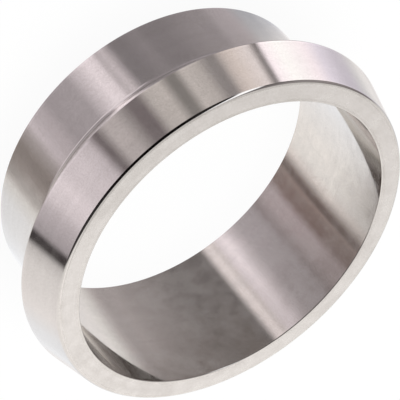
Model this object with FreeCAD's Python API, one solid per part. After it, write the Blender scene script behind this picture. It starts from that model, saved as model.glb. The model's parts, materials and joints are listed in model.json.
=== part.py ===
import FreeCAD, Part
import math
import os

# Dairy union liner: the plain half of a screwed union for milk and food pipework.
# It is one turned ring. Its thin spigot is welded to the pipe, its tapered collar
# centres in the threaded half, and the round nut pulls on the shoulder behind the collar.
# The liner stands on its weld end. +Z runs along the bore, from the weld end to the
# sealing face, and the origin is the centre of the weld end. Lengths are in millimetres.

# Driving dimensions
BORE_DIAMETER = 100.0          # clear way through the liner, the pipe's own inside
PIPE_WALL = 2.0                # wall of the spigot, the same as the pipe's
LINER_LENGTH = 44.0            # weld end to sealing face
COLLAR_STEP = 8.5              # spigot's outside to the collar's widest corner, square to the axis
COLLAR_LENGTH = 14.5           # sealing face to that corner
COLLAR_TAPER = 15.0            # degrees between the collar's side and the axis
SHOULDER_ANGLE = 45.0          # degrees between the nut's seat and the axis
FACE_EDGE_RADIUS = 1.1         # rounding round the outside of the sealing face
BORE_EDGE_BREAK = 0.3          # chamfer round the bore's mouth in the sealing face
COLLAR_CORNER_RADIUS = 0.5     # rounding of the collar's widest corner
SHOULDER_ROOT_RADIUS = 3.0     # fillet where the shoulder runs into the spigot
WELD_END_BREAK = 0.15          # deburred edges of the weld end

# Radii and heights that follow from them
bore_radius = BORE_DIAMETER / 2
spigot_radius = bore_radius + PIPE_WALL
collar_radius = spigot_radius + COLLAR_STEP
corner_height = LINER_LENGTH - COLLAR_LENGTH
face_radius = collar_radius - COLLAR_LENGTH * math.tan(math.radians(COLLAR_TAPER))
shoulder_drop = COLLAR_STEP / math.tan(math.radians(SHOULDER_ANGLE))
root_height = corner_height - shoulder_drop


def step_along(start, towards, distance):
    """Point at a distance from start, on the line that leads to another point."""
    (r0, z0), (r1, z1) = start, towards
    share = distance / math.hypot(r1 - r0, z1 - z0)
    return (r0 + share * (r1 - r0), z0 + share * (z1 - z0))


def vector(point):
    """Profile point, as radius and height, in the XZ plane."""
    return FreeCAD.Vector(point[0], 0, point[1])


def bevelled(before, corner, after, leg):
    """A corner cut off by one straight edge, the same leg on both of its sides."""
    start = step_along(corner, before, leg)
    end = step_along(corner, after, leg)
    return start, end, Part.LineSegment(vector(start), vector(end))


def rounded(before, corner, after, radius):
    """A corner rounded by an arc that is tangent to both of its sides."""
    to_before = vector(before) - vector(corner)
    to_after = vector(after) - vector(corner)
    half_angle = to_before.getAngle(to_after) / 2
    start = step_along(corner, before, radius / math.tan(half_angle))
    end = step_along(corner, after, radius / math.tan(half_angle))
    middle = (vector(start) + vector(end)) * 0.5
    to_centre = radius / math.sin(half_angle)
    inward = (middle - vector(corner)).normalize()
    crown = vector(corner) + inward * (to_centre - radius)
    return start, end, Part.Arc(vector(start), crown, vector(end))


def liner_section():
    """Half section of the wall, walked from the bore at the weld end round to it again."""
    bore_at_weld = (bore_radius, 0.0)
    spigot_at_weld = (spigot_radius, 0.0)
    shoulder_root = (spigot_radius, root_height)
    collar_corner = (collar_radius, corner_height)
    face_edge = (face_radius, LINER_LENGTH)
    bore_mouth = (bore_radius, LINER_LENGTH)
    corners = [
        (bore_at_weld, bevelled, WELD_END_BREAK),
        (spigot_at_weld, bevelled, WELD_END_BREAK),
        (shoulder_root, rounded, SHOULDER_ROOT_RADIUS),
        (collar_corner, rounded, COLLAR_CORNER_RADIUS),
        (face_edge, rounded, FACE_EDGE_RADIUS),
        (bore_mouth, bevelled, BORE_EDGE_BREAK),
    ]
    finished = []
    for place, (corner, finish, size) in enumerate(corners):
        before = corners[place - 1][0]
        after = corners[(place + 1) % len(corners)][0]
        finished.append(finish(before, corner, after, size))
    edges = []
    for place, (start, end, edge) in enumerate(finished):
        previous_end = finished[place - 1][1]
        edges.append(Part.LineSegment(vector(previous_end), vector(start)).toShape())
        edges.append(edge.toShape())
    return Part.Face(Part.Wire(edges))


def liner():
    """The section turned once round the bore's axis."""
    axis_point = FreeCAD.Vector(0, 0, 0)
    axis_direction = FreeCAD.Vector(0, 0, 1)
    return liner_section().revolve(axis_point, axis_direction, 360)


os.makedirs("parts", exist_ok=True)
part = liner()
part.exportStep("parts/liner.step")
box = part.optimalBoundingBox()
print("liner: valid", part.isValid(), "solids", len(part.Solids), "volume mm3", round(part.Volume, 1))
print("size mm", round(box.XLength, 3), round(box.YLength, 3), round(box.ZLength, 3))
print("collar over its sharp corner", round(2 * collar_radius, 3))
print("sealing face over its sharp edge", round(2 * face_radius, 3))
print("shoulder root height", round(root_height, 3))
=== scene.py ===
# %% [markdown]
# # A dairy union liner
# A liner is the plain half of a screwed union in milk and food pipework. It is one
# ring of stainless steel, turned on a lathe. The thin spigot at the bottom is welded
# to the pipe, the wide collar at the top sits in the threaded half, and a round nut
# pulls on the slope behind the collar.

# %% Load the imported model
import json
import math

import bmesh
import bpy
from mathutils import Matrix, Vector


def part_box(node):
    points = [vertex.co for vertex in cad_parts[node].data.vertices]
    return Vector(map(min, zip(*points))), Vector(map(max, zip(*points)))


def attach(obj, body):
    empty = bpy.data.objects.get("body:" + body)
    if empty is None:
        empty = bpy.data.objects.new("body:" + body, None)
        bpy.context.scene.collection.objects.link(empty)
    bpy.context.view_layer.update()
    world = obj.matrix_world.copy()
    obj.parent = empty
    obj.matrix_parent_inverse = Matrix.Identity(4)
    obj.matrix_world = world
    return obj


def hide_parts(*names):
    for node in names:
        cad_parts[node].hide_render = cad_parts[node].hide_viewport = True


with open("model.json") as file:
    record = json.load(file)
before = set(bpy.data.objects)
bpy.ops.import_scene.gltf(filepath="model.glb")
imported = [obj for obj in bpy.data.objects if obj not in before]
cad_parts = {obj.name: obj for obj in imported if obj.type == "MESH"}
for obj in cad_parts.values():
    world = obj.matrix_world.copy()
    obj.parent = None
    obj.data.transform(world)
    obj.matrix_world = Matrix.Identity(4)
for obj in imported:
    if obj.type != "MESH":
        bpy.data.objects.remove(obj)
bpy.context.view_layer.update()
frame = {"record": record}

MM = 0.001

# %% [markdown]
# ## The sizes
# The mounts state the bore and the spigot as a fitter would measure them, and the
# node's box gives the length. The rest are sizes that a drawing of the liner lists
# beside its section: how far the collar steps out from the spigot, how long it is,
# the taper of its side and the slope of the shoulder that the nut pulls on.

# %% Sizes of the liner
mounts = {mount["name"]: mount for mount in frame["record"]["mounts"]}
low_corner, high_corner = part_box("liner")

BORE_RADIUS = mounts["bore"]["dims"]["r_mm"] * MM
SPIGOT_RADIUS = mounts["weld_spigot"]["dims"]["r_mm"] * MM
LINER_LENGTH = high_corner.z - low_corner.z
COLLAR_STEP = 8.5 * MM
COLLAR_LENGTH = 14.5 * MM
COLLAR_TAPER = math.radians(15)
SHOULDER_ANGLE = math.radians(45)

collar_radius = SPIGOT_RADIUS + COLLAR_STEP
corner_height = LINER_LENGTH - COLLAR_LENGTH
root_height = corner_height - COLLAR_STEP / math.tan(SHOULDER_ANGLE)
face_radius = collar_radius - COLLAR_LENGTH * math.tan(COLLAR_TAPER)
print("collar corner", round(corner_height / MM, 2), "mm above the weld end")
print("shoulder root", round(root_height / MM, 2), "mm above the weld end")

# %% [markdown]
# ## The camera
# The photograph looks down into the ring from in front of the sealing face, and the
# camera is rolled, so that the ring's axis runs to the lower right. The view was
# worked out from the ellipses that the ring's edges make: a long lens of 183 mm, about
# 0.6 m away, that looks 38 degrees down. A fixed place, a tilt and a roll say it all,
# and the roll is a turn about the line of sight.

# %% Camera
LENS = 183.4
SENSOR_WIDTH = 36.0
CAMERA_PLACE = Vector((-1.03, -464.5, 386.8)) * MM
CAMERA_TILT = math.radians(38.08)
CAMERA_ROLL = math.radians(139.56)
NEAREST_SEEN = 10 * MM


def make_camera():
    """Camera that looks along +Y and down, then rolled about its line of sight."""
    data = bpy.data.cameras.new("camera")
    data.lens = LENS
    data.sensor_width = SENSOR_WIDTH
    data.clip_start = NEAREST_SEEN
    camera = bpy.data.objects.new("camera", data)
    bpy.context.scene.collection.objects.link(camera)
    look_down = Matrix.Rotation(math.radians(90) - CAMERA_TILT, 4, "X")
    roll = Matrix.Rotation(CAMERA_ROLL, 4, "Z")
    camera.matrix_world = Matrix.Translation(CAMERA_PLACE) @ look_down @ roll
    bpy.context.scene.camera = camera


make_camera()
print("camera", [round(value, 4) for value in CAMERA_PLACE])

# %% [markdown]
# ## The ring
# The real ring is turned, and Spin is the same idea: the half section of the wall is
# drawn once, with a vertex at each corner, and swept round the bore's axis. A solid
# cut from cylinders would give the same shape, but long thin triangles at every seam.
# The corners stay sharp at first. Each is a closed loop of edges, so Bevel can finish
# it by its own amount in the next step.

# %% Section and spin
SPIN_STEPS = 384
SEAM_GAP = 0.001 * MM

section = {
    "bore_at_weld_end": (BORE_RADIUS, 0.0),
    "spigot_at_weld_end": (SPIGOT_RADIUS, 0.0),
    "shoulder_root": (SPIGOT_RADIUS, root_height),
    "collar_corner": (collar_radius, corner_height),
    "face_edge": (face_radius, LINER_LENGTH),
    "bore_mouth": (BORE_RADIUS, LINER_LENGTH),
}

ring = bmesh.new()
corner_points = [ring.verts.new((radius, 0.0, height)) for radius, height in section.values()]
outline = [
    ring.edges.new((corner_points[place - 1], corner_points[place]))
    for place in range(len(corner_points))
]
bmesh.ops.spin(
    ring,
    geom=corner_points + outline,
    cent=(0, 0, 0),
    axis=(0, 0, 1),
    angle=math.radians(360),
    steps=SPIN_STEPS,
    use_merge=True,
    use_duplicate=False,
)
bmesh.ops.remove_doubles(ring, verts=ring.verts, dist=SEAM_GAP)
bmesh.ops.recalc_face_normals(ring, faces=ring.faces)
print("ring before its corners are finished:", len(ring.faces), "faces")

# %% [markdown]
# ## The corners
# A corner of the section is found again by its radius and height. The offset that
# Bevel wants is the distance from the sharp corner to where the round starts: the
# radius divided by the tangent of half the angle between the two sides. The weld end
# keeps almost square edges, because a weld needs them, while the nut's corner and the
# edge of the sealing face are rounded so that they don't cut the seal or a hand. The
# widest round is the fillet where the shoulder runs into the spigot.

# %% Corners
CORNER_RADII = {
    "bore_at_weld_end": 0.12 * MM,
    "spigot_at_weld_end": 0.15 * MM,
    "shoulder_root": 3.0 * MM,
    "collar_corner": 0.5 * MM,
    "face_edge": 1.1 * MM,
    "bore_mouth": 0.3 * MM,
}
CORNER_SEGMENTS = 6
CORNER_REACH = 0.01 * MM


def corner_loop(mesh, radius, height):
    """Edges of the circle that one corner of the section swept out."""

    def on_corner(vert):
        off_radius = abs(vert.co.xy.length - radius)
        off_height = abs(vert.co.z - height)
        return off_radius < CORNER_REACH and off_height < CORNER_REACH

    return [edge for edge in mesh.edges if all(on_corner(vert) for vert in edge.verts)]


def bevel_offset(name, radius):
    """Distance from a sharp corner to the start of its round."""
    names = list(section)
    place = names.index(name)
    corner = Vector(section[name])
    before = Vector(section[names[place - 1]]) - corner
    after = Vector(section[names[(place + 1) % len(names)]]) - corner
    return radius / math.tan(before.angle(after) / 2)


for name, radius in CORNER_RADII.items():
    bmesh.ops.bevel(
        ring,
        geom=corner_loop(ring, *section[name]),
        offset=bevel_offset(name, radius),
        offset_type="OFFSET",
        affect="EDGES",
        segments=CORNER_SEGMENTS,
        profile=0.5,
        material=-1,
    )
bmesh.ops.recalc_face_normals(ring, faces=ring.faces)
for face in ring.faces:
    face.smooth = True
print("ring with its corners finished:", len(ring.faces), "faces")

# %% [markdown]
# ## Which surface gets which finish
# The outside and the sealing face were turned in one clamping and show fine lathe
# marks. The bore is the drawn tube's own inside, rolled smooth. The weld end was only
# faced off. The finish of a face follows from where it lies, so the code asks which
# way it looks and how far out it is, and picks the material slot.

# %% Material slots on the ring
OUTSIDE, SEALING_FACE, BORE, WELD_END = range(4)
LOOKS_UP = 0.9
BORE_REACH = 0.1 * MM


def finish_of(face):
    """Material slot of a face of the ring, from how it looks out and where it lies."""
    if face.normal.z > LOOKS_UP:
        return SEALING_FACE
    if face.normal.z < -LOOKS_UP:
        return WELD_END
    if face.calc_center_median().xy.length < BORE_RADIUS + BORE_REACH:
        return BORE
    return OUTSIDE


for face in ring.faces:
    face.material_index = finish_of(face)
for slot, surface in enumerate(("outside", "sealing face", "bore", "weld end")):
    print(surface, sum(face.material_index == slot for face in ring.faces), "faces")

# %% [markdown]
# ## The ring as a piece
# The mesh becomes the piece that takes the solid liner's place. Smooth shading bends
# the light over a whole face when its neighbours lie at a slope. Normals weighted by
# face area keep the broad faces true, and let the shading turn only on the small
# rounds, without more faces.

# %% Piece on its body
ring_mesh = bpy.data.meshes.new("liner_ring")
ring.to_mesh(ring_mesh)
ring.free()
liner = bpy.data.objects.new("liner_ring", ring_mesh)
bpy.context.scene.collection.objects.link(liner)
weighted = liner.modifiers.new("true_broad_faces", "WEIGHTED_NORMAL")
weighted.mode = "FACE_AREA"
weighted.weight = 50
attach(liner, "root")
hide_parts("liner")
print("piece", liner.name, "has", len(ring_mesh.polygons), "faces")

# %% [markdown]
# ## Helpers for nodes
# The finishes and the studio are made of shader nodes. The same few moves come back
# each time: add a node, set a value on a socket or link another node to it, and pass
# its output on. Short functions for these moves let an effect read like a sum. An
# effect that several finishes use is a node group with named inputs, which puts out
# masks and leaves the shader to the material.

# %% Node helpers


def new_node(tree, kind, **settings):
    """A node of one kind, with its properties set."""
    node = tree.nodes.new(kind)
    for name, value in settings.items():
        setattr(node, name, value)
    return node


def feed(tree, socket, value):
    """Link another node's socket to this one, or set it to a plain number or colour."""
    if isinstance(value, bpy.types.NodeSocket):
        tree.links.new(value, socket)
    else:
        socket.default_value = value


def math_node(tree, operation, *values, clamp=False):
    """A math node whose inputs are numbers or other nodes' sockets."""
    node = new_node(tree, "ShaderNodeMath", operation=operation, use_clamp=clamp)
    for socket, value in zip(node.inputs, values):
        feed(tree, socket, value)
    return node.outputs[0]


def new_group(name, inputs, outputs):
    """An empty shader node group with float sockets, and its two end nodes."""
    tree = bpy.data.node_groups.new(name, "ShaderNodeTree")
    for label, value in inputs.items():
        socket = tree.interface.new_socket(label, in_out="INPUT", socket_type="NodeSocketFloat")
        socket.default_value = value
    for label in outputs:
        tree.interface.new_socket(label, in_out="OUTPUT", socket_type="NodeSocketFloat")
    return tree, new_node(tree, "NodeGroupInput"), new_node(tree, "NodeGroupOutput")


# %% [markdown]
# ## Noise on the steel
# Grooves, grain and haze are all noise, read in different coordinates and at
# different scales. They start from Object coordinates, which stay with the mesh
# wherever the liner is put. Image textures could show the same marks, but they would
# have to be wrapped round the ring and would blur when seen from near.

# %% Noise helpers


def object_place(tree):
    """Socket with the place on the object."""
    return new_node(tree, "ShaderNodeTexCoord").outputs["Object"]


def noise_node(tree, place, scale, detail, roughness=0.5):
    """Noise read at a place, with its scale a number or another node's socket."""
    noise = new_node(tree, "ShaderNodeTexNoise")
    settings = {"Vector": place, "Scale": scale, "Detail": detail, "Roughness": roughness}
    for name, value in settings.items():
        feed(tree, noise.inputs[name], value)
    return noise.outputs[0]


# %% [markdown]
# ## Lathe marks
# A turning tool leaves a shallow groove that winds round the part. Seen from a step
# away, the grooves are thin lines round the axis that vary in depth and fade along
# their length. Noise does this if it is read in lathe coordinates: one axis across
# the grooves, squeezed very fine, and two for the direction round the part, which are
# almost constant along a groove. The distance across is the radius plus the height,
# because one or both of them change across every surface of the ring. A thin wall
# also springs a little under the tool, which leaves slow waves in the surface. They
# come from plain noise, and bend a reflection's edge. All finishes use these marks,
# so they are a node group with its own inputs.

# %% Lathe marks group
GROOVE_DETAIL = 1.0
BAND_DETAIL = 3.0
WAVE_DETAIL = 1.0
MARK_ROUGHNESS = 0.6


def lathe_coordinates(tree):
    """Sockets for the radius, the height and the two parts of the unit outward vector."""
    parts = new_node(tree, "ShaderNodeSeparateXYZ")
    tree.links.new(object_place(tree), parts.inputs[0])
    x, y, z = parts.outputs
    square = math_node(tree, "MULTIPLY_ADD", x, x, math_node(tree, "MULTIPLY", y, y))
    radius = math_node(tree, "SQRT", square)
    out_x = math_node(tree, "DIVIDE", x, radius)
    out_y = math_node(tree, "DIVIDE", y, radius)
    return radius, z, out_x, out_y


def lathe_noise(tree, place, pitch, wander, detail):
    """Noise drawn out round the axis, one lump per pitch across it."""
    across, out_x, out_y = place
    point = new_node(tree, "ShaderNodeCombineXYZ")
    tree.links.new(math_node(tree, "DIVIDE", across, pitch), point.inputs[0])
    tree.links.new(math_node(tree, "MULTIPLY", out_x, wander), point.inputs[1])
    tree.links.new(math_node(tree, "MULTIPLY", out_y, wander), point.inputs[2])
    return noise_node(tree, point.outputs[0], 1.0, detail, MARK_ROUGHNESS)


def make_lathe_marks():
    """Group: fine grooves, broader bands and slow waves, each from 0 to 1."""
    inputs = {
        "Groove Pitch": 0.12 * MM,
        "Band Pitch": 1.6 * MM,
        "Wander": 1.5,
        "Wave Size": 7 * MM,
    }
    tree, start, end = new_group("lathe_marks", inputs, ["Grooves", "Bands", "Waves"])
    radius, height, out_x, out_y = lathe_coordinates(tree)
    place = (math_node(tree, "ADD", radius, height), out_x, out_y)
    wander = start.outputs["Wander"]
    grooves = lathe_noise(tree, place, start.outputs["Groove Pitch"], wander, GROOVE_DETAIL)
    bands = lathe_noise(tree, place, start.outputs["Band Pitch"], wander, BAND_DETAIL)
    wave_scale = math_node(tree, "DIVIDE", 1.0, start.outputs["Wave Size"])
    waves = noise_node(tree, object_place(tree), wave_scale, WAVE_DETAIL)
    tree.links.new(grooves, end.inputs["Grooves"])
    tree.links.new(bands, end.inputs["Bands"])
    tree.links.new(waves, end.inputs["Waves"])
    return tree


lathe_marks = make_lathe_marks()
print("group", lathe_marks.name, "has", len(lathe_marks.nodes), "nodes")

# %% [markdown]
# ## Handling haze
# A clean steel part still carries a cloudy film from wiping and from fingers: soft
# patches, a few millimetres wide, that are a little rougher, change the shade and
# scatter some light. Two sizes of noise multiplied together give patches that come
# and go. A fine grain breaks up the shade between them, as on any steel that was
# worked and washed. A few short fine scratches lie across it all, from a stretched
# noise of which only the peaks are kept.

# %% Handling haze group
LARGE_PATCHES = 0.3
PATCH_DETAIL = 4.0
PATCH_CONTRAST = 5.0
PATCH_THRESHOLD = 0.75
GRAIN_DETAIL = 2.0
SCRATCH_TURN = (0.6, 0.4, 0.9)
SCRATCH_FINENESS = (1600.0, 90.0, 90.0)
SCRATCH_CONTRAST = 12.0
SCRATCH_THRESHOLD = 9.0


def make_handling_haze():
    """Group: soft patches, fine grain and thin scratches, each from 0 to 1."""
    inputs = {"Patch Size": 4 * MM, "Grain Size": 0.45 * MM, "Scratch Amount": 0.5}
    tree, start, end = new_group("handling_haze", inputs, ["Patches", "Grain", "Scratches"])
    place = object_place(tree)

    patch_scale = math_node(tree, "DIVIDE", 1.0, start.outputs["Patch Size"])
    large_scale = math_node(tree, "MULTIPLY", patch_scale, LARGE_PATCHES)
    small = noise_node(tree, place, patch_scale, PATCH_DETAIL)
    large = noise_node(tree, place, large_scale, PATCH_DETAIL)
    both = math_node(tree, "MULTIPLY", small, large)
    patches = math_node(
        tree, "MULTIPLY_ADD", both, PATCH_CONTRAST, -PATCH_THRESHOLD, clamp=True
    )
    tree.links.new(patches, end.inputs["Patches"])

    grain_scale = math_node(tree, "DIVIDE", 1.0, start.outputs["Grain Size"])
    grain = noise_node(tree, place, grain_scale, GRAIN_DETAIL)
    tree.links.new(grain, end.inputs["Grain"])

    turned = new_node(tree, "ShaderNodeMapping")
    turned.inputs["Rotation"].default_value = SCRATCH_TURN
    turned.inputs["Scale"].default_value = SCRATCH_FINENESS
    tree.links.new(place, turned.inputs["Vector"])
    hair = noise_node(tree, turned.outputs[0], 1.0, 0.0)
    peaks = math_node(
        tree, "MULTIPLY_ADD", hair, SCRATCH_CONTRAST, -SCRATCH_THRESHOLD, clamp=True
    )
    scratches = math_node(tree, "MULTIPLY", peaks, start.outputs["Scratch Amount"])
    tree.links.new(scratches, end.inputs["Scratches"])
    return tree


handling_haze = make_handling_haze()
print("group", handling_haze.name, "has", len(handling_haze.nodes), "nodes")

# %% [markdown]
# ## Worn corners
# Corners rub first. On this liner the widest corner of the collar and the edges of
# the sealing face and the weld end are a little brighter and smoother than the faces
# beside them, and rubbed clean of their film. A corner is a circle, so the distance
# to it in the section is one square root, and a smooth step over the reach turns it
# into a mask.

# %% Worn corner group


def make_worn_corner():
    """Group: 1 on one corner circle, fading to 0 at the reach."""
    inputs = {"Corner Radius": collar_radius, "Corner Height": corner_height, "Reach": 1.2 * MM}
    tree, start, end = new_group("worn_corner", inputs, ["Worn"])
    radius, height, _, _ = lathe_coordinates(tree)
    out = math_node(tree, "SUBTRACT", radius, start.outputs["Corner Radius"])
    up = math_node(tree, "SUBTRACT", height, start.outputs["Corner Height"])
    square = math_node(tree, "MULTIPLY_ADD", out, out, math_node(tree, "MULTIPLY", up, up))
    share = math_node(tree, "DIVIDE", math_node(tree, "SQRT", square), start.outputs["Reach"])
    fade = new_node(tree, "ShaderNodeMapRange", interpolation_type="SMOOTHSTEP")
    fade.inputs["To Min"].default_value = 1.0
    fade.inputs["To Max"].default_value = 0.0
    tree.links.new(share, fade.inputs["Value"])
    tree.links.new(fade.outputs[0], end.inputs["Worn"])
    return tree


worn_corner = make_worn_corner()
print("group", worn_corner.name, "has", len(worn_corner.nodes), "nodes")

# %% [markdown]
# ## Shade and relief
# Stainless steel is a metal with a slightly warm grey colour, a little darker and
# browner under haze. Each mask moves the colour part of the way from one to the
# other, up where it is above one half and down where it is below, so a strong mask
# hardly changes the mean. The grooves and the waves are heights. They go through one
# Bump node, because marks that fine would take millions of faces as geometry.

# %% Shade and relief of the steel
CLEAN_STEEL = (0.72, 0.69, 0.67, 1.0)
HAZED_STEEL = (0.53, 0.50, 0.475, 1.0)


def mix_colours(tree, share, first, second, blend="MIX"):
    """Colour between two others, each a socket or a plain colour."""
    node = new_node(tree, "ShaderNodeMixRGB", blend_type=blend)
    for socket, value in zip(node.inputs, (share, first, second)):
        feed(tree, socket, value)
    return node.outputs[0]


def group_node(tree, group, **values):
    """A node group placed in a material, with its inputs set."""
    node = new_node(tree, "ShaderNodeGroup", node_tree=group)
    for label, value in values.items():
        node.inputs[label.replace("_", " ")].default_value = value
    return node


def varied(tree, mean, masks):
    """The mean, plus each mask's distance from one half times its share."""
    for mask, share in masks:
        lowest = math_node(tree, "ADD", mean, -share / 2)
        mean = math_node(tree, "MULTIPLY_ADD", mask, share, lowest)
    return mean


def relief(tree, marks, grooves, waves):
    """Normal of the surface with its grooves and waves, by their heights in metres."""
    swell = math_node(tree, "MULTIPLY", marks["Waves"], waves)
    height = math_node(tree, "MULTIPLY_ADD", marks["Grooves"], grooves, swell)
    bump = new_node(tree, "ShaderNodeBump")
    bump.inputs["Distance"].default_value = 1.0
    tree.links.new(height, bump.inputs["Height"])
    return bump.outputs[0]


print("steel from", CLEAN_STEEL[:3], "when clean to", HAZED_STEEL[:3], "under haze")

# %% [markdown]
# ## The steel
# What tells one finish from the next is how far it spreads a reflection, and in which
# direction: grooves round the axis spread it along the axis only, which draws every
# lamp out into a straight streak. The Principled shader does that with Anisotropic,
# and a tangent that runs round Z and is turned by a quarter. A film of handling and a
# matte surface also scatter some light to all sides. The shader does that when
# Metallic is a little less than 1, so a second shader for the film isn't needed.

# %% Steel
QUARTER_TURN = 0.25
HAZE_MEAN = 0.35
SCRATCH_SHADE = 0.3
BAND_ROUGHNESS = 0.05
PATCH_ROUGHNESS = 0.04
LEAST_ROUGHNESS = 0.05
WORN_SHADE = 0.25
WORN_ROUGHNESS = 0.04
RUBBED_CLEAN = 3.0


def make_steel(
    name, roughness, anisotropy, grooves, waves, bands, haze, grain, matte, film, corners
):
    """One finish of the same stainless steel."""
    material = bpy.data.materials.new(name)
    material.use_nodes = True
    tree = material.node_tree
    shader = tree.nodes["Principled BSDF"]
    shader.inputs["Anisotropic"].default_value = anisotropy
    shader.inputs["Anisotropic Rotation"].default_value = QUARTER_TURN
    tangent = new_node(tree, "ShaderNodeTangent", direction_type="RADIAL", axis="Z")
    tree.links.new(tangent.outputs[0], shader.inputs["Tangent"])

    marks = group_node(tree, lathe_marks).outputs
    touched = group_node(tree, handling_haze).outputs
    bands_mask, patches = marks["Bands"], touched["Patches"]
    masks = [(bands_mask, bands), (patches, haze), (touched["Grain"], grain)]
    shade = varied(tree, HAZE_MEAN, masks)
    shade = math_node(tree, "MULTIPLY_ADD", touched["Scratches"], SCRATCH_SHADE, shade)
    masks = [(bands_mask, BAND_ROUGHNESS), (patches, PATCH_ROUGHNESS)]
    rough = varied(tree, roughness, masks)
    dull = math_node(tree, "MULTIPLY_ADD", patches, film, matte)
    for radius, height in corners:
        circle = group_node(tree, worn_corner, Corner_Radius=radius, Corner_Height=height)
        worn = circle.outputs["Worn"]
        shade = math_node(tree, "MULTIPLY_ADD", worn, -WORN_SHADE, shade)
        rough = math_node(tree, "MULTIPLY_ADD", worn, -WORN_ROUGHNESS, rough)
        kept = math_node(tree, "MULTIPLY_ADD", worn, -RUBBED_CLEAN, 1.0, clamp=True)
        dull = math_node(tree, "MULTIPLY", dull, kept)

    shade = math_node(tree, "MAXIMUM", math_node(tree, "MINIMUM", shade, 1.0), 0.0)
    colour = mix_colours(tree, shade, CLEAN_STEEL, HAZED_STEEL)
    metallic = math_node(tree, "SUBTRACT", 1.0, dull)
    rough = math_node(tree, "MAXIMUM", rough, LEAST_ROUGHNESS)
    tree.links.new(colour, shader.inputs["Base Color"])
    tree.links.new(metallic, shader.inputs["Metallic"])
    tree.links.new(rough, shader.inputs["Roughness"])
    tree.links.new(relief(tree, marks, grooves, waves), shader.inputs["Normal"])
    return material


# %% [markdown]
# ## The turned outside
# One function makes each finish, so the four differ only where the real ones do.
# Roughness and anisotropy set the gloss, and grooves and waves are heights. Bands,
# haze and grain say how far each mask takes the colour from clean to hazed steel.
# Matte is the share of scattered light all over, and film is the share that a patch
# adds. Corners are the circles that are rubbed. The collar, the shoulder and the
# spigot were turned with a fine feed. They are nearly a mirror, with a faint film.

# %% Turned outside
COLLAR_CIRCLE = (collar_radius, corner_height)
FACE_CIRCLE = (face_radius, LINER_LENGTH)
WELD_CIRCLE = (SPIGOT_RADIUS, 0.0)

turned_outside = make_steel(
    "turned_outside",
    roughness=0.10,
    anisotropy=0.7,
    grooves=0.0005 * MM,
    waves=0.0025 * MM,
    bands=0.35,
    haze=-0.05,
    grain=0.9,
    matte=0.012,
    film=0.065,
    corners=[COLLAR_CIRCLE, FACE_CIRCLE, WELD_CIRCLE],
)
ring_mesh.materials.append(turned_outside)
print("finish", turned_outside.name, "has", len(turned_outside.node_tree.nodes), "nodes")

# %% [markdown]
# ## The sealing face
# The face is cut square across with a coarser feed, and the seal presses on it. It is
# more matte than the collar: about a quarter of its light is scattered, and its
# grooves are deeper.

# %% Faced sealing face
MOUTH_CIRCLE = (BORE_RADIUS, LINER_LENGTH)

sealing_face = make_steel(
    "faced_sealing_face",
    roughness=0.2,
    anisotropy=0.6,
    grooves=0.0012 * MM,
    waves=0.005 * MM,
    bands=0.5,
    haze=0.4,
    grain=1.0,
    matte=0.27,
    film=0.06,
    corners=[FACE_CIRCLE, MOUTH_CIRCLE],
)
ring_mesh.materials.append(sealing_face)
print("finish", sealing_face.name, "has", len(sealing_face.node_tree.nodes), "nodes")

# %% [markdown]
# ## The rolled bore
# Rolling leaves the smoothest surface, and the film shows on it most. There the film
# is paler than the steel, so the haze is negative and takes the colour back to clean
# steel.

# %% Rolled bore
rolled_bore = make_steel(
    "rolled_bore",
    roughness=0.085,
    anisotropy=0.6,
    grooves=0.0004 * MM,
    waves=0.003 * MM,
    bands=0.3,
    haze=-0.25,
    grain=0.9,
    matte=0.0,
    film=0.2,
    corners=[MOUTH_CIRCLE],
)
ring_mesh.materials.append(rolled_bore)
print("finish", rolled_bore.name, "has", len(rolled_bore.node_tree.nodes), "nodes")

# %% [markdown]
# ## The cut weld end
# The weld end is only faced off, because the weld melts it. It is the coarsest
# finish. Its outer edge is rubbed on the spigot's side only, which has the finish of
# the outside, so this one lists no corners.

# %% Cut weld end
cut_weld_end = make_steel(
    "cut_weld_end",
    roughness=0.32,
    anisotropy=0.5,
    grooves=0.0020 * MM,
    waves=0.0,
    bands=0.6,
    haze=0.4,
    grain=0.6,
    matte=0.3,
    film=0.1,
    corners=[],
)
ring_mesh.materials.append(cut_weld_end)
print("finish", cut_weld_end.name, "has", len(cut_weld_end.node_tree.nodes), "nodes")
print("slots of the ring:", [material.name for material in ring_mesh.materials])

# %% [markdown]
# ## The studio round the steel
# Polished steel has no pattern of its own: its streaks are pictures of the studio.
# The liner seems to have been lit by pale walls, with dark flags in the gaps to draw
# its edges. Here they are painted on the world by direction, which takes no lamps and
# cards and puts no light where it isn't wanted. There are five rings, one above the
# other: ground, bench, low, middle and upper. A ring is a list of stops round the
# horizon: an azimuth in degrees, the grey that it shows in the steel, and a tint.
# Azimuth 0 is the camera's side, and it grows towards +X, which the names below call
# right. The greys and tints weren't designed. They follow the photograph's own
# colours, which were measured by the direction that the steel mirrors, listed here
# and then changed until the render matched. Such a studio fits one photograph.

# %% Tints of the walls
WHITE = (0.98, 1.0, 1.03)
COOL = (0.98, 1.0, 1.08)
NEUTRAL = (1.03, 1.0, 0.99)
CREAM = (1.02, 1.0, 0.975)
SAND = (1.07, 1.0, 0.965)
PINK = (1.085, 1.0, 1.0)
LILAC = (1.09, 1.0, 1.055)
VIOLET = (1.06, 1.0, 1.13)
BEIGE = (1.12, 1.0, 0.95)
BROWN = (1.27, 1.0, 0.94)
PLUM = (1.16, 1.0, 1.04)
RUST = (1.36, 1.0, 0.95)


def shown_grey(grey, tint):
    """Linear colour of a screen grey from 0 to 255, with a tint."""
    linear = ((grey / 255 + 0.055) / 1.055) ** 2.4
    return (*(min(1.0, linear * part) for part in tint), 1.0)


print("screen grey 128 in cream:", [round(part, 3) for part in shown_grey(128, CREAM)])

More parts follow.
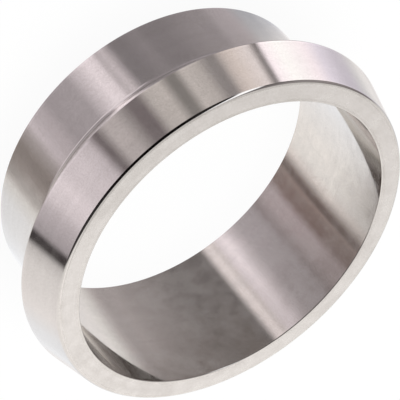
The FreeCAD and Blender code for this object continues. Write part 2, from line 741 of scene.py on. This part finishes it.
# %% [markdown]
# ### Bench and ground
# The spigot's wall is upright and the camera looks down on it, so it mirrors what
# lies steeply down: the bench. The nut's seat faces away and down, and only a thin
# line of it and of its fillet shows above the spigot. That line mirrors the steepest
# part of the bench and the ground, partly by way of the spigot.

# %% Bench and ground rings
BENCH_RING = [
    (-180, 182, COOL),
    (-154, 174, COOL),
    (-148, 167, COOL),
    (-141, 167, COOL),
    (-132, 159, COOL),
    (-122, 159, COOL),
    (-110, 159, LILAC),
    (-97, 153, LILAC),
    (-89, 132, LILAC),
    (-82, 134, LILAC),
    (-57, 118, LILAC),
    (-46, 119, LILAC),
    (-41, 128, LILAC),
    (-29, 116, LILAC),
    (-23, 116, LILAC),
    (-16, 182, LILAC),
    (-12, 166, LILAC),
    (-8.5, 208, LILAC),
    (-3, 216, LILAC),
    (0, 206, LILAC),
    (7, 181, LILAC),
    (13, 149, LILAC),
    (32, 147, LILAC),
    (38, 164, LILAC),
    (44, 170, LILAC),
    (51, 186, LILAC),
    (57, 152, PINK),
    (66, 122, BEIGE),
    (77, 128, BEIGE),
    (86, 141, SAND),
    (89, 157, SAND),
    (94, 200, CREAM),
    (108, 214, WHITE),
    (140, 216, WHITE),
    (150, 212, WHITE),
    (180, 220, WHITE),
]
GROUND_RING = [
    (-180, 160, LILAC),
    (-60, 118, LILAC),
    (-42, 128, LILAC),
    (-35, 142, LILAC),
    (-28, 198, LILAC),
    (0, 205, LILAC),
    (6, 190, LILAC),
    (16, 148, LILAC),
    (28, 136, LILAC),
    (75, 138, LILAC),
    (110, 175, SAND),
    (180, 200, CREAM),
]
print("bench:", len(BENCH_RING), "stops, ground:", len(GROUND_RING), "stops")

# %% [markdown]
# ### Low walls
# The bore is as upright as the spigot, but what shows of it is its far side, which
# the camera sees a few degrees less steeply. It mirrors the walls just above the
# bench.

# %% Low ring
LOW_RING = [
    (-180, 214, NEUTRAL),
    (-158, 205, NEUTRAL),
    (-146, 212, NEUTRAL),
    (-132, 213, NEUTRAL),
    (-126, 208, CREAM),
    (-114, 162, PINK),
    (-108, 148, PINK),
    (-97, 153, PINK),
    (-87, 143, PINK),
    (-68, 130, PINK),
    (-45, 104, PINK),
    (-34, 107, PINK),
    (-27, 102, PINK),
    (-21.5, 102, PINK),
    (-17, 211, PINK),
    (-14, 217, PINK),
    (-11, 196, PINK),
    (-7, 216, LILAC),
    (-3, 231, LILAC),
    (0, 218, LILAC),
    (4, 190, LILAC),
    (10, 161, LILAC),
    (24, 151, LILAC),
    (29.5, 128, PLUM),
    (37, 153, PLUM),
    (44, 156, PLUM),
    (50, 104, RUST),
    (57, 115, BROWN),
    (60.5, 126, BROWN),
    (62.5, 90, BROWN),
    (65.5, 100, BROWN),
    (73.5, 215, SAND),
    (80, 226, CREAM),
    (97, 229, CREAM),
    (135, 226, WHITE),
    (152, 218, WHITE),
    (163, 203, NEUTRAL),
    (180, 207, NEUTRAL),
]
print("low walls:", len(LOW_RING), "stops")

# %% [markdown]
# ### Middle walls
# The collar's side leans back by 15 degrees, and a mirror that leans back lifts what
# it shows by twice its own lean. So the collar mirrors walls that are 30 degrees
# higher than the spigot's. The narrow dark stops are the flags that draw stripes
# across it.

# %% Middle ring
MIDDLE_RING = [
    (-180, 184, WHITE),
    (-152, 179, WHITE),
    (-143, 179, WHITE),
    (-131, 182, VIOLET),
    (-124, 188, VIOLET),
    (-113, 214, VIOLET),
    (-104, 238, LILAC),
    (-88, 255, LILAC),
    (-79, 246, LILAC),
    (-76.2, 108, PINK),
    (-74.5, 134, PINK),
    (-71, 212, PINK),
    (-62, 198, BEIGE),
    (-57, 180, BEIGE),
    (-52.5, 124, PINK),
    (-49, 128, PINK),
    (-43, 170, SAND),
    (-35.5, 182, SAND),
    (-31, 118, SAND),
    (-27.5, 118, SAND),
    (-22.5, 178, SAND),
    (-15, 172, SAND),
    (-10, 102, PLUM),
    (-5, 105, PLUM),
    (0, 146, PINK),
    (4, 167, PINK),
    (10, 170, PINK),
    (15.5, 98, PLUM),
    (17, 104, PLUM),
    (21.5, 181, LILAC),
    (30, 196, LILAC),
    (38, 196, LILAC),
    (45, 210, LILAC),
    (53, 200, LILAC),
    (59, 176, LILAC),
    (71.5, 150, LILAC),
    (74.5, 56, PLUM),
    (78, 54, PLUM),
    (82, 184, NEUTRAL),
    (90, 207, NEUTRAL),
    (118, 218, NEUTRAL),
    (134, 218, WHITE),
    (148, 201, WHITE),
    (165, 216, WHITE),
    (180, 184, WHITE),
]
print("middle walls:", len(MIDDLE_RING), "stops")

# %% [markdown]
# ### Upper walls
# A rounded edge turns through many slopes, so it squeezes everything above the
# horizon into one thin line. The black front of the upper ring draws the dark line
# round the sealing face, and the narrow white softbox in it draws the glint.

# %% Upper ring
UPPER_RING = [
    (-180, 215, CREAM),
    (-172, 208, CREAM),
    (-145, 202, CREAM),
    (-137, 184, CREAM),
    (-132, 112, PINK),
    (-127, 106, PINK),
    (-114, 126, PINK),
    (-96, 128, PINK),
    (-82, 108, PINK),
    (-68, 88, PINK),
    (-64, 252, WHITE),
    (-54, 252, WHITE),
    (-50, 40, PINK),
    (-38, 36, PINK),
    (-22, 10, PINK),
    (0, 8, PINK),
    (30, 17, PINK),
    (60, 48, PINK),
    (74, 62, PINK),
    (81, 195, CREAM),
    (100, 212, CREAM),
    (170, 221, CREAM),
    (180, 215, CREAM),
]
print("upper walls:", len(UPPER_RING), "stops")

# %% [markdown]
# ### Rings as colour ramps
# A colour ramp blends from stop to stop, as soft light does on a wall. One ramp holds
# 32 stops at most, so each ring is two ramps that meet at azimuth 0. Soft steps
# between two values, and bands made of two steps, are all that is needed to put the
# rings one above the other and to paint on them.

# %% Helpers for painting walls


def half_ring(tree, azimuth, stops):
    """Colour ramp from the azimuth of the first stop to that of the last one."""
    first, last = stops[0][0], stops[-1][0]
    local = new_node(tree, "ShaderNodeMapRange")
    local.inputs["From Min"].default_value = first
    local.inputs["From Max"].default_value = last
    tree.links.new(azimuth, local.inputs["Value"])
    ramp = new_node(tree, "ShaderNodeValToRGB")
    elements = ramp.color_ramp.elements
    for degrees, grey, tint in stops[1:-1]:
        elements.new((degrees - first) / (last - first)).color = shown_grey(grey, tint)
    elements[0].color = shown_grey(*stops[0][1:])
    elements[len(stops) - 1].color = shown_grey(*stops[-1][1:])
    tree.links.new(local.outputs[0], ramp.inputs[0])
    return ramp.outputs[0]


def ring_of_walls(tree, azimuth, stops):
    """Two colour ramps round the horizon that meet at azimuth 0."""
    left = half_ring(tree, azimuth, [stop for stop in stops if stop[0] <= 0])
    right = half_ring(tree, azimuth, [stop for stop in stops if stop[0] >= 0])
    is_right = math_node(tree, "GREATER_THAN", azimuth, 0.0)
    return mix_colours(tree, is_right, left, right)


def soft_step(tree, value, none, full):
    """Smooth step from 0 at one value to 1 at another, which may be the lower one."""
    step = new_node(tree, "ShaderNodeMapRange", interpolation_type="SMOOTHSTEP")
    step.inputs["From Min"].default_value = none
    step.inputs["From Max"].default_value = full
    tree.links.new(value, step.inputs["Value"])
    return step.outputs[0]


def band(tree, value, low, high, blur):
    """1 between two values, fading to 0 over a blur that is centred on each of them."""
    rise = soft_step(tree, value, low - blur / 2, low + blur / 2)
    fall = soft_step(tree, value, high + blur / 2, high - blur / 2)
    return math_node(tree, "MULTIPLY", rise, fall)


# %% [markdown]
# ### Bench and low walls that don't stand straight
# The stripes in the bore lean over near the weld end, and those in the thin line
# above the spigot spread out. So the azimuth at which a wall of these two rings is
# read changes a little as the direction gets steeper. In that line also show a bright
# strip on the bench in front and, steeper still, the ground.

# %% Bench and low walls
GROUND_TOP = (-60, -56)
BENCH_FAN = 0.065
BENCH_FAN_FROM = -44.0
BENCH_FAN_STEEPEST = 4.0
STRIP_GREY = 228
STRIP_ELEVATIONS = (-56.0, -48.5, 2.0)
STRIP_AZIMUTHS = (-12.0, 62.0, 12.0)
LOW_LEAN = 0.03
LOW_LEAN_FROM = -36.2
LOW_LEAN_TURN = 0.005
LOW_LEAN_STEEPEST = 2.0


def degrees_below(tree, elevation, start, most):
    """How far a direction lies below a start, from 0 up to the most that counts."""
    below = math_node(tree, "SUBTRACT", start, elevation)
    below = math_node(tree, "MAXIMUM", below, 0.0)
    return math_node(tree, "MINIMUM", below, most)


def bench_walls(tree, azimuth, elevation):
    """Ground and bench, with the bench fanned out and the bright strip on it."""
    steeper = degrees_below(tree, elevation, BENCH_FAN_FROM, BENCH_FAN_STEEPEST)
    fan = math_node(tree, "MULTIPLY_ADD", steeper, -BENCH_FAN, 1.0)
    bench = ring_of_walls(tree, math_node(tree, "MULTIPLY", azimuth, fan), BENCH_RING)
    ground = ring_of_walls(tree, azimuth, GROUND_RING)
    walls = mix_colours(tree, soft_step(tree, elevation, *GROUND_TOP), ground, bench)
    along = band(tree, azimuth, *STRIP_AZIMUTHS)
    strip = math_node(tree, "MULTIPLY", band(tree, elevation, *STRIP_ELEVATIONS), along)
    return mix_colours(tree, strip, walls, shown_grey(STRIP_GREY, LILAC))


def low_walls(tree, azimuth, elevation):
    """The low ring, with its walls leaning over as they go down."""
    lean_from = math_node(tree, "MULTIPLY_ADD", azimuth, LOW_LEAN_TURN, LOW_LEAN_FROM)
    steeper = degrees_below(tree, elevation, lean_from, LOW_LEAN_STEEPEST)
    sideways = math_node(tree, "MULTIPLY", math_node(tree, "ABSOLUTE", azimuth), steeper)
    leaned = math_node(tree, "MULTIPLY_ADD", sideways, -LOW_LEAN, azimuth)
    return ring_of_walls(tree, leaned, LOW_RING)


print("bench walls spread by up to", round(100 * BENCH_FAN * BENCH_FAN_STEEPEST), "percent")
print("low walls lean by up to", round(100 * LOW_LEAN * LOW_LEAN_STEEPEST), "percent")

# %% [markdown]
# ### Panel overhead and shadow gap
# The sealing face mirrors a round panel that hangs overhead and is tipped to the
# back. The panel is darker high up and towards the left, because the near side of the
# face is darker than the far side. A narrow shadow runs between the low and the
# middle walls. It shows in the bore next to the mouth, strong at both sides and
# fainter in front.

# %% Panel and shadow gap
PANEL_CENTRE = math.radians(71)
PANEL_RADIUS = math.radians(38)
PANEL_BLUR = math.radians(2)
PANEL_DARK = 184
PANEL_PALE = 232
PANEL_FALL = 1.9
PANEL_EDGES = (-1.355, -0.925)
GAP_GREY = 102
GAP_ELEVATIONS = (-35.1, -32.75, 1.45)
GAP_LEFT = 0.9
GAP_LEFT_AZIMUTHS = (-130, -24, 10)
GAP_LEAST = 0.15
GAP_IN_FRONT = 0.4
GAP_FRONT_FROM = (-14, -1)
GAP_RIGHT = 0.5
GAP_RIGHT_FROM = (65, 112)
GAP_ENDS = (150, 130)


def overhead_panel(tree, y, z):
    """1 on the round panel overhead, 0 off it."""
    across = math_node(tree, "MULTIPLY", y, math.cos(PANEL_CENTRE))
    towards = math_node(tree, "MULTIPLY_ADD", z, math.sin(PANEL_CENTRE), across)
    outer, inner = PANEL_RADIUS + PANEL_BLUR, PANEL_RADIUS - PANEL_BLUR
    return soft_step(tree, towards, math.cos(outer), math.cos(inner))


def panel_colour(tree, x, z):
    """Colour of the panel, paler towards the right and low down."""
    low_right = math_node(tree, "MULTIPLY_ADD", z, -PANEL_FALL, x)
    dark, pale = shown_grey(PANEL_DARK, CREAM), shown_grey(PANEL_PALE, CREAM)
    return mix_colours(tree, soft_step(tree, low_right, *PANEL_EDGES), dark, pale)


def shadow_gap(tree, azimuth, elevation):
    """Share of the narrow shadow between the low and the middle walls."""
    gap = band(tree, elevation, *GAP_ELEVATIONS)
    left = math_node(tree, "MULTIPLY", band(tree, azimuth, *GAP_LEFT_AZIMUTHS), GAP_LEFT)
    front = soft_step(tree, azimuth, *GAP_FRONT_FROM)
    right = soft_step(tree, azimuth, *GAP_RIGHT_FROM)
    depth = math_node(tree, "MULTIPLY_ADD", front, GAP_IN_FRONT, GAP_LEAST)
    depth = math_node(tree, "MULTIPLY_ADD", right, GAP_RIGHT, depth)
    depth = math_node(tree, "MULTIPLY", depth, soft_step(tree, azimuth, *GAP_ENDS))
    return math_node(tree, "MULTIPLY", gap, math_node(tree, "MAXIMUM", left, depth))


panel_low, panel_high = PANEL_CENTRE - PANEL_RADIUS, PANEL_CENTRE + PANEL_RADIUS
print("panel from", round(math.degrees(panel_low)), "degrees up at the back, over the top,")
print("to", round(180 - math.degrees(panel_high)), "degrees up in front")

# %% [markdown]
# ### Light that has bounced more than once
# Steel inside a ring mirrors steel, so some light touches it twice or more. The world
# can tell by Ray Depth, which is 2 for light that touched the steel once. It can also
# tell the bore from the nut's seat by elevation, because the bore never looks as
# steeply down as the seat does.

# %% Bounces
TOUCHED_TWICE = 2.5
TOUCHED_MORE = 3.5
BORE_ELEVATIONS = (-42, -40)


def bounces(tree, elevation):
    """Masks for light off the steel: twice in the bore, more in the bore, off the seat."""
    depth = new_node(tree, "ShaderNodeLightPath").outputs["Ray Depth"]
    twice = math_node(tree, "GREATER_THAN", depth, TOUCHED_TWICE)
    more = math_node(tree, "GREATER_THAN", depth, TOUCHED_MORE)
    in_bore = soft_step(tree, elevation, *BORE_ELEVATIONS)
    from_bore = math_node(tree, "MULTIPLY", twice, in_bore)
    more_in_bore = math_node(tree, "MULTIPLY", more, in_bore)
    twice_in_bore = math_node(tree, "SUBTRACT", from_bore, more_in_bore)
    off_seat = math_node(tree, "SUBTRACT", twice, from_bore)
    return twice_in_bore, more_in_bore, off_seat


# %% [markdown]
# ### Strength of the studio
# The studio's strength makes up for the light that the steel swallows, so that a wall
# shows at about the grey in its list. Light that bounced twice in the bore is weaker
# and warmer on the real part than the shader alone makes it, and light that bounced
# more often shows only a plain wall, darker on the left. Between the nut's seat and
# the spigot it is stronger.

# %% Strength by bounce
BORE_SHARE = 0.33
BORE_SHARE_RIGHT = 0.43
BORE_RIGHT_FROM = (86, 108)
BORE_SHARE_LEFT = 0.28
BORE_LEFT_FROM = (-75, -150)
BORE_SHARE_DEEP = 0.35
BORE_DEEP_FROM = (-34.8, -36.2)
BORE_WARMTH = (1.0, 0.98, 0.94, 1.0)
SEAT_GAIN = 0.1
SEAT_GAIN_IN_FRONT = 0.55
SEAT_FRONT = (-28, 0, 20)
PLAIN_DARK = 130
PLAIN_PALE = 196
PLAIN_EDGES = (-60, 60)
STUDIO_STRENGTH = 1.55


def bore_share(tree, azimuth, elevation):
    """What is left of the studio after a second reflection in the bore."""
    right = soft_step(tree, azimuth, *BORE_RIGHT_FROM)
    left = soft_step(tree, azimuth, *BORE_LEFT_FROM)
    deep = soft_step(tree, elevation, *BORE_DEEP_FROM)
    gain = math_node(tree, "MULTIPLY_ADD", deep, BORE_SHARE_DEEP, BORE_SHARE_LEFT)
    share = math_node(tree, "MULTIPLY_ADD", left, gain, BORE_SHARE)
    return math_node(tree, "MULTIPLY_ADD", right, BORE_SHARE_RIGHT, share)


def strength_by_bounce(tree, twice_in_bore, off_seat, azimuth, elevation):
    """Strength of the studio, changed for light that has bounced twice on the steel."""
    front = band(tree, azimuth, *SEAT_FRONT)
    gain = math_node(tree, "MULTIPLY_ADD", front, SEAT_GAIN_IN_FRONT, SEAT_GAIN)
    gain = math_node(tree, "MULTIPLY", off_seat, gain)
    loss = math_node(tree, "SUBTRACT", bore_share(tree, azimuth, elevation), 1.0)
    change = math_node(tree, "MULTIPLY_ADD", twice_in_bore, loss, gain)
    return math_node(tree, "MULTIPLY_ADD", change, STUDIO_STRENGTH, STUDIO_STRENGTH)


def plain_wall(tree, azimuth):
    """Wall that light from more than two bounces in the bore shows."""
    dark, pale = shown_grey(PLAIN_DARK, SAND), shown_grey(PLAIN_PALE, SAND)
    return mix_colours(tree, soft_step(tree, azimuth, *PLAIN_EDGES), dark, pale)


print("a second bounce in the bore keeps", BORE_SHARE, "of the light in front,")
print(round(BORE_SHARE + BORE_SHARE_LEFT, 2), "or more on the left and")
print(round(BORE_SHARE + BORE_SHARE_RIGHT, 2), "on the right")

# %% [markdown]
# ### The walls put together
# A direction's azimuth and elevation come from its x, y and z. Elevation picks the
# ring, with a soft step from each ring to the next, and the panel and the shadow gap
# are painted over them.

# %% Painted walls
BENCH_TOP = (-40.5, -39.6)
LOW_TOP = (-32, -26)
MIDDLE_TOP = (-9, 0)


def compass(tree):
    """Sockets for x, y and z of a direction, and its azimuth and elevation in degrees."""
    direction = new_node(tree, "ShaderNodeTexCoord")
    parts = new_node(tree, "ShaderNodeSeparateXYZ")
    tree.links.new(direction.outputs["Generated"], parts.inputs[0])
    x, y, z = parts.outputs
    turn = math_node(tree, "ARCTAN2", x, math_node(tree, "MULTIPLY", y, -1.0))
    azimuth = math_node(tree, "MULTIPLY", turn, math.degrees(1))
    elevation = math_node(tree, "MULTIPLY", math_node(tree, "ARCSINE", z), math.degrees(1))
    return x, y, z, azimuth, elevation


def painted_walls(tree, x, y, z, azimuth, elevation):
    """Colour of the studio in every direction."""
    walls = bench_walls(tree, azimuth, elevation)
    rings = (
        (BENCH_TOP, low_walls(tree, azimuth, elevation)),
        (LOW_TOP, ring_of_walls(tree, azimuth, MIDDLE_RING)),
        (MIDDLE_TOP, ring_of_walls(tree, azimuth, UPPER_RING)),
    )
    for top, higher in rings:
        walls = mix_colours(tree, soft_step(tree, elevation, *top), walls, higher)
    walls = mix_colours(tree, overhead_panel(tree, y, z), walls, panel_colour(tree, x, z))
    gap = shadow_gap(tree, azimuth, elevation)
    return mix_colours(tree, gap, walls, shown_grey(GAP_GREY, BEIGE))


print("rings meet at", BENCH_TOP, LOW_TOP, MIDDLE_TOP, "degrees of elevation")

# %% [markdown]
# ### The world
# The walls are for light and reflections. The camera itself sees a plain white
# background of strength 1, so Light Path chooses between the two.

# %% World


def mix_shaders(tree, share, first, second):
    """Shader between the outputs of two shader nodes."""
    node = new_node(tree, "ShaderNodeMixShader")
    for socket, value in zip(node.inputs, (share, first.outputs[0], second.outputs[0])):
        tree.links.new(value, socket)
    return node.outputs[0]


def make_world():
    """World of painted walls, seen by reflections and light but not by the camera."""
    world = bpy.data.worlds.new("studio")
    bpy.context.scene.world = world
    world.use_nodes = True
    tree = world.node_tree
    tree.nodes.clear()
    x, y, z, azimuth, elevation = compass(tree)
    walls = painted_walls(tree, x, y, z, azimuth, elevation)
    twice_in_bore, more_in_bore, off_seat = bounces(tree, elevation)
    walls = mix_colours(tree, more_in_bore, walls, plain_wall(tree, azimuth))
    walls = mix_colours(tree, twice_in_bore, walls, BORE_WARMTH, "MULTIPLY")
    strength = strength_by_bounce(tree, twice_in_bore, off_seat, azimuth, elevation)

    studio = new_node(tree, "ShaderNodeBackground")
    tree.links.new(walls, studio.inputs["Color"])
    tree.links.new(strength, studio.inputs["Strength"])
    backdrop = new_node(tree, "ShaderNodeBackground")
    backdrop.inputs["Color"].default_value = (1, 1, 1, 1)
    to_camera = new_node(tree, "ShaderNodeLightPath").outputs["Is Camera Ray"]
    output = new_node(tree, "ShaderNodeOutputWorld")
    tree.links.new(mix_shaders(tree, to_camera, studio, backdrop), output.inputs["Surface"])
    return world


studio_world = make_world()
print("world", studio_world.name, "has", len(studio_world.node_tree.nodes), "nodes")

# %% [markdown]
# ## A lamp for the floor
# The world lights the steel. One wide soft lamp overhead lights the floor, so that
# the liner stands in its own faint shadow. Reflections don't see it, so it puts no
# glare on the metal.

# %% Floor lamp
LAMP_HEIGHT = 1.0
LAMP_SIZE = 0.8
LAMP_WATTS = 8.0


def make_floor_lamp():
    """Wide square lamp straight overhead, left out of reflections."""
    data = bpy.data.lights.new("floor_lamp", "AREA")
    data.shape = "SQUARE"
    data.size = LAMP_SIZE
    data.energy = LAMP_WATTS
    lamp = bpy.data.objects.new("floor_lamp", data)
    lamp.location = (0, 0, LAMP_HEIGHT)
    lamp.visible_glossy = False
    bpy.context.scene.collection.objects.link(lamp)


make_floor_lamp()
print("floor lamp of", LAMP_WATTS, "W")

# %% [markdown]
# ## The floor
# The liner stands on its weld end on a plain pale floor. To the camera the floor is
# mostly its own white, so that it runs into the background as in a cut-out picture,
# and a small share of real shading keeps the contact shadow. Reflections pass through
# it to the bench and the ground, because the steel shows those and no floor.

# %% Floor
FLOOR_SIZE = 6.0
FLOOR_PAINT = (0.9, 0.9, 0.9, 1.0)
OWN_WHITE = 0.95


def make_pale_floor():
    """Material of the floor: its own white to the camera, pale paint to the light."""
    material = bpy.data.materials.new("pale_floor")
    material.use_nodes = True
    tree = material.node_tree
    tree.nodes.clear()
    paint = new_node(tree, "ShaderNodeBsdfDiffuse")
    paint.inputs["Color"].default_value = FLOOR_PAINT
    own_white = new_node(tree, "ShaderNodeEmission")
    to_camera = new_node(tree, "ShaderNodeLightPath").outputs["Is Camera Ray"]
    amount = math_node(tree, "MULTIPLY", to_camera, OWN_WHITE)
    output = new_node(tree, "ShaderNodeOutputMaterial")
    tree.links.new(mix_shaders(tree, amount, paint, own_white), output.inputs["Surface"])
    return material


def make_floor():
    """White floor with a faint shadow."""
    mesh = bpy.data.meshes.new("floor")
    sheet = bmesh.new()
    bmesh.ops.create_grid(sheet, x_segments=1, y_segments=1, size=FLOOR_SIZE / 2)
    sheet.to_mesh(mesh)
    sheet.free()
    mesh.materials.append(make_pale_floor())
    floor = bpy.data.objects.new("floor", mesh)
    bpy.context.scene.collection.objects.link(floor)
    floor.visible_glossy = False


make_floor()
print("floor", FLOOR_SIZE, "m wide")

# %% [markdown]
# ## Finish
# The view transform is Standard, so a colour renders as it is written.

# %% View transform
bpy.context.scene.view_settings.view_transform = "Standard"
bpy.context.view_layer.update()
